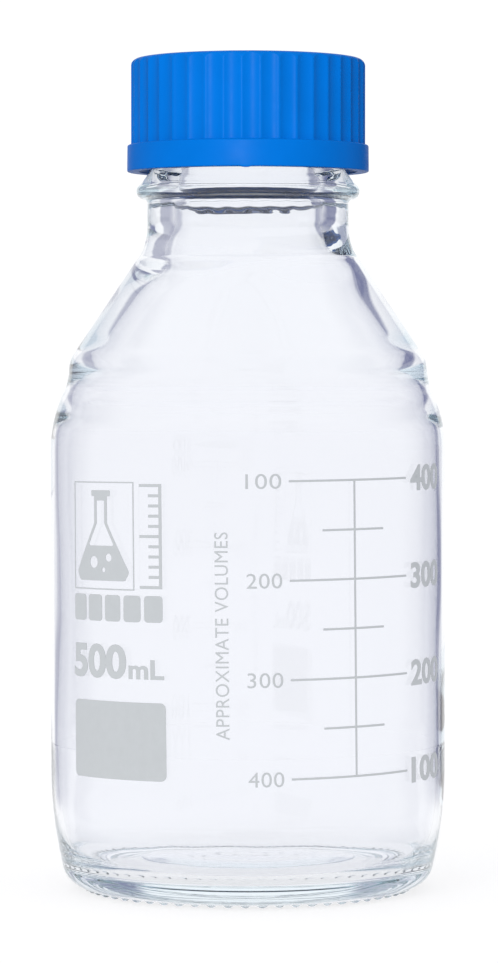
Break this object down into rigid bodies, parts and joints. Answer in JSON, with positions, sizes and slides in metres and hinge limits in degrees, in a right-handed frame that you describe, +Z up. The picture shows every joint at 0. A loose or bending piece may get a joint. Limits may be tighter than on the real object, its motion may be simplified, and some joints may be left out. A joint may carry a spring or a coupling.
{
  "type": "reagent bottle",
  "caption": "Clear glass laboratory reagent bottle with a sloping shoulder, screw neck and collar, enamel volume scale, pouring ring and a blue ribbed screw cap with a sealing disc.",
  "frame": {"origin": "centre of the base, on the surface that the bottle stands on", "axes": "+Z up along the bottle's axis; -Y is the front, the side that carries the print; +X is to the right seen from the front"},
  "size_m": [0.086, 0.0861, 0.1805],
  "materials": {
    "clear_glass": "clear, polished borosilicate glass",
    "blue_ring_plastic": "smooth moulded polypropylene",
    "white_seal": "smooth, faced silicone",
    "blue_cap_plastic": "satin moulded polypropylene",
    "grey_enamel": "matt fired enamel"
  },
  "bodies": {
    "bottle": {"bottle_glass": "clear_glass", "pouring_ring": "blue_ring_plastic", "graduation_lines": "grey_enamel", "graduation_numerals": "grey_enamel", "capacity_mark": "grey_enamel", "emblem_print": "grey_enamel", "writing_panel": "grey_enamel"},
    "seal": {"sealing_disc": "white_seal"},
    "cap": {"screw_cap": "blue_cap_plastic"}
  },
  "joints": [
    {"name": "cap_rise", "type": "slide", "parent": "bottle", "child": "seal", "axis": [0, 0, 1], "range_m": [0, 0.026]},
    {"name": "cap_turn", "type": "hinge", "parent": "seal", "child": "cap", "pos_m": [0, 0, 0.17], "axis": [0, 0, 1], "range_deg": [0, 2341]}
  ],
  "couplings": [
    {"joint": "cap_turn", "follows": "cap_rise", "rad_per_m": 1570.8}
  ]
}
